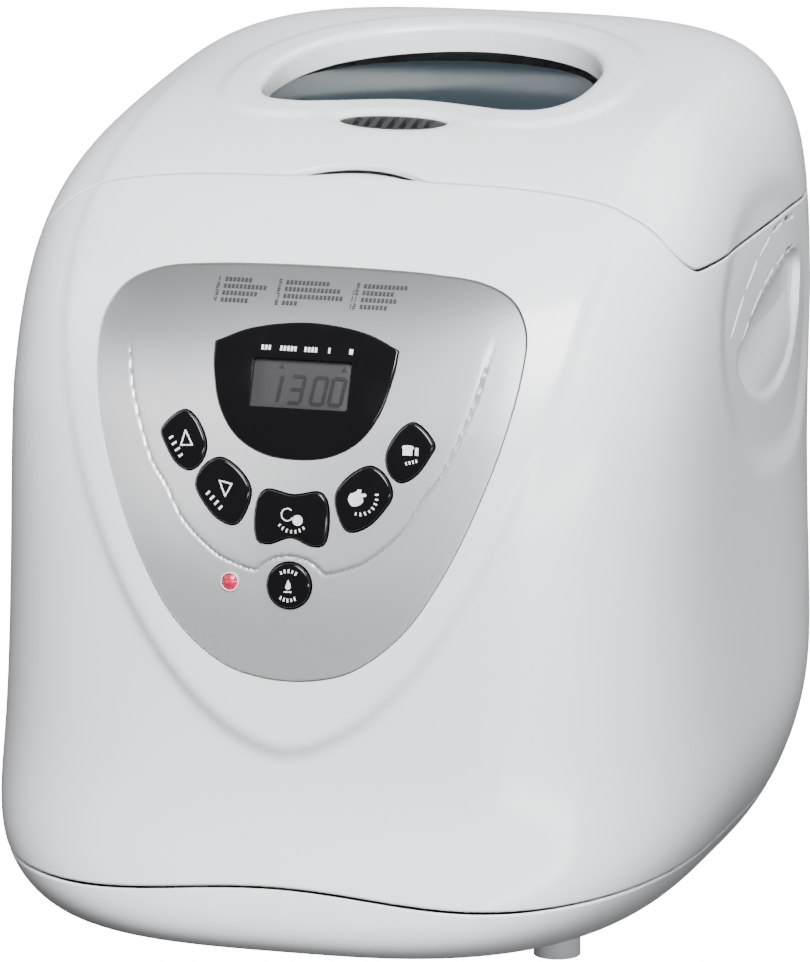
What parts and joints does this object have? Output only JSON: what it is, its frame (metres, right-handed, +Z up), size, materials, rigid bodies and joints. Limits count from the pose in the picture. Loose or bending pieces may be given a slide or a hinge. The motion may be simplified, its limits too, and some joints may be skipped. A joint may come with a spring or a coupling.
{
  "type": "bread machine",
  "caption": "Countertop bread machine with hinged windowed lid, shield-shaped control panel, removable pan with bail, kneading paddle, ring heater and belt drive.",
  "frame": {"origin": "bottom centre of the machine, on the plane of its feet", "axes": "+Z up, front with the control panel faces -Y, +X to the right seen from the front"},
  "size_m": [0.268, 0.3278, 0.3124],
  "materials": {
    "housing": "glossy white moulded ABS",
    "panel": "silver metallic lacquer, satin",
    "black": "piano black",
    "lcd": "grey LCD glass",
    "led": "translucent pink-red lens",
    "rubber": "light grey rubber",
    "grey": "mid grey plastic",
    "glass": "tempered glass, slightly tinted",
    "sheet": "aluminised sheet steel",
    "pan": "dark non-stick coating",
    "steel": "bright steel",
    "cast": "die-cast aluminium",
    "brass": "sintered bronze",
    "board": "green circuit board",
    "nylon": "natural nylon",
    "dark": "black plastic or rubber"
  },
  "bodies": {
    "body": {"base_tray": "housing", "foot_front_left": "rubber", "foot_front_right": "rubber", "foot_rear_left": "rubber", "foot_rear_right": "rubber", "base_screw_front_left": "steel", "base_screw_front_right": "steel", "base_screw_rear_left": "steel", "base_screw_rear_right": "steel", "housing_shell": "housing", "cord_gland": "dark", "control_panel": "panel", "display_lens": "black", "status_led": "led", "lcd_module": "lcd", "control_board": "board", "power_board": "board", "transformer": "cast", "run_capacitor": "dark", "baking_chamber": "sheet", "top_deck": "housing", "heating_element": "steel", "temperature_sensor": "steel", "heater_support_front": "nylon", "heater_support_rear": "nylon", "bearing_bracket": "cast", "pan_lock_ring": "sheet", "motor": "cast", "motor_bracket": "sheet", "drive_belt": "dark", "hinge_pin_left": "steel", "hinge_bracket_left": "dark", "hinge_pin_right": "steel", "hinge_bracket_right": "dark"},
    "lid": {"lid_shell": "housing", "lid_window": "glass", "window_gasket": "dark", "lid_liner": "sheet", "steam_vent": "grey"},
    "time_up_button": {"time_up_button": "black"},
    "time_down_button": {"time_down_button": "black"},
    "loaf_size_button": {"loaf_size_button": "black"},
    "menu_button": {"menu_button": "black"},
    "crust_button": {"crust_button": "black"},
    "start_stop_button": {"start_stop_button": "black"},
    "drive": {"drive_shaft": "steel", "drive_pulley": "nylon", "drive_coupling": "cast"},
    "motor_rotor": {"motor_pulley": "steel"},
    "pan": {"bread_pan": "pan", "pan_skirt": "cast", "pan_bush": "brass"},
    "bail": {"pan_handle": "steel"},
    "paddle": {"kneading_paddle": "cast", "pan_shaft": "steel", "pan_coupling": "cast"}
  },
  "joints": [
    {"name": "lid_hinge", "type": "hinge", "parent": "body", "child": "lid", "pos_m": [0, 0.15266, 0.253], "axis": [-1, 0, 0], "range_deg": [0, 80]},
    {"name": "time_up_press", "type": "slide", "parent": "body", "child": "time_up_button", "axis": [0.0289, 0.9684, -0.2476], "range_m": [0, 0.0012], "stiffness_N_per_m": 900, "springref_m": -0.0003},
    {"name": "time_down_press", "type": "slide", "parent": "body", "child": "time_down_button", "axis": [0.0076, 0.9822, -0.1876], "range_m": [0, 0.0012], "stiffness_N_per_m": 900, "springref_m": -0.0003},
    {"name": "loaf_size_press", "type": "slide", "parent": "body", "child": "loaf_size_button", "axis": [0, 0.9862, -0.1654], "range_m": [0, 0.0012], "stiffness_N_per_m": 900, "springref_m": -0.0003},
    {"name": "menu_press", "type": "slide", "parent": "body", "child": "menu_button", "axis": [-0.0076, 0.9822, -0.1876], "range_m": [0, 0.0012], "stiffness_N_per_m": 900, "springref_m": -0.0003},
    {"name": "crust_press", "type": "slide", "parent": "body", "child": "crust_button", "axis": [-0.0289, 0.9684, -0.2476], "range_m": [0, 0.0012], "stiffness_N_per_m": 900, "springref_m": -0.0003},
    {"name": "start_stop_press", "type": "slide", "parent": "body", "child": "start_stop_button", "axis": [0, 0.9931, -0.1176], "range_m": [0, 0.0012], "stiffness_N_per_m": 900, "springref_m": -0.0003},
    {"name": "drive_spin", "type": "hinge", "parent": "body", "child": "drive", "pos_m": [0, 0.05, 0.03], "axis": [0, 0, 1], "continuous": true},
    {"name": "motor_spin", "type": "hinge", "parent": "body", "child": "motor_rotor", "pos_m": [0, -0.084, 0.03], "axis": [0, 0, 1], "continuous": true},
    {"name": "pan_lift", "type": "slide", "parent": "body", "child": "pan", "axis": [0, 0, 1], "range_m": [0, 0.012]},
    {"name": "pan_handle_swing", "type": "hinge", "parent": "pan", "child": "bail", "pos_m": [0, 0.05, 0.213], "axis": [-1, 0, 0], "range_deg": [0, 180]},
    {"name": "paddle_spin", "type": "hinge", "parent": "pan", "child": "paddle", "pos_m": [0, 0.05, 0.1], "axis": [0, 0, 1], "continuous": true}
  ],
  "couplings": [
    {"joint": "motor_spin", "follows": "drive_spin", "ratio": 4.6667},
    {"joint": "paddle_spin", "follows": "drive_spin", "ratio": 1}
  ]
}
